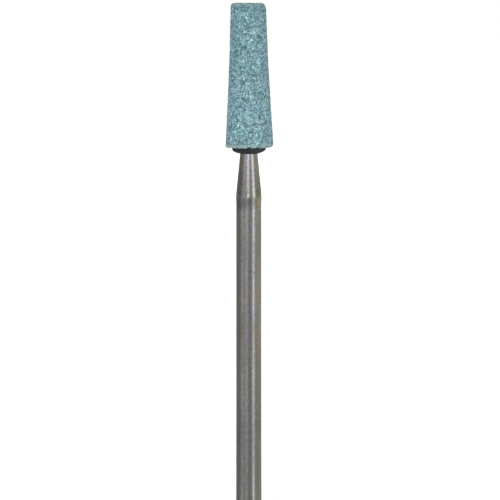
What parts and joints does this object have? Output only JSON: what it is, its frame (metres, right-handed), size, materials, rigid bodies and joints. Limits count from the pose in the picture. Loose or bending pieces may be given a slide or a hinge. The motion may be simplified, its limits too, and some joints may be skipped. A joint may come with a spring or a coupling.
{
  "type": "mounted point",
  "caption": "Tapered grinding stone with a flat tip, its wide end down, cemented on a steel mandrel with a tapered neck and a straight shank for a chuck.",
  "frame": {"origin": "centre of the shank's end face", "axes": "+Z along the axis from the shank's end to the tip of the stone; the object is round, so X and Y are free"},
  "size_m": [0.0044, 0.0044, 0.0474],
  "materials": {
    "steel": "satin",
    "stone": "matte",
    "cement": "satin"
  },
  "bodies": {
    "root": {"mandrel": "steel", "abrasive_head": "stone", "cement": "cement"}
  },
  "joints": []
}
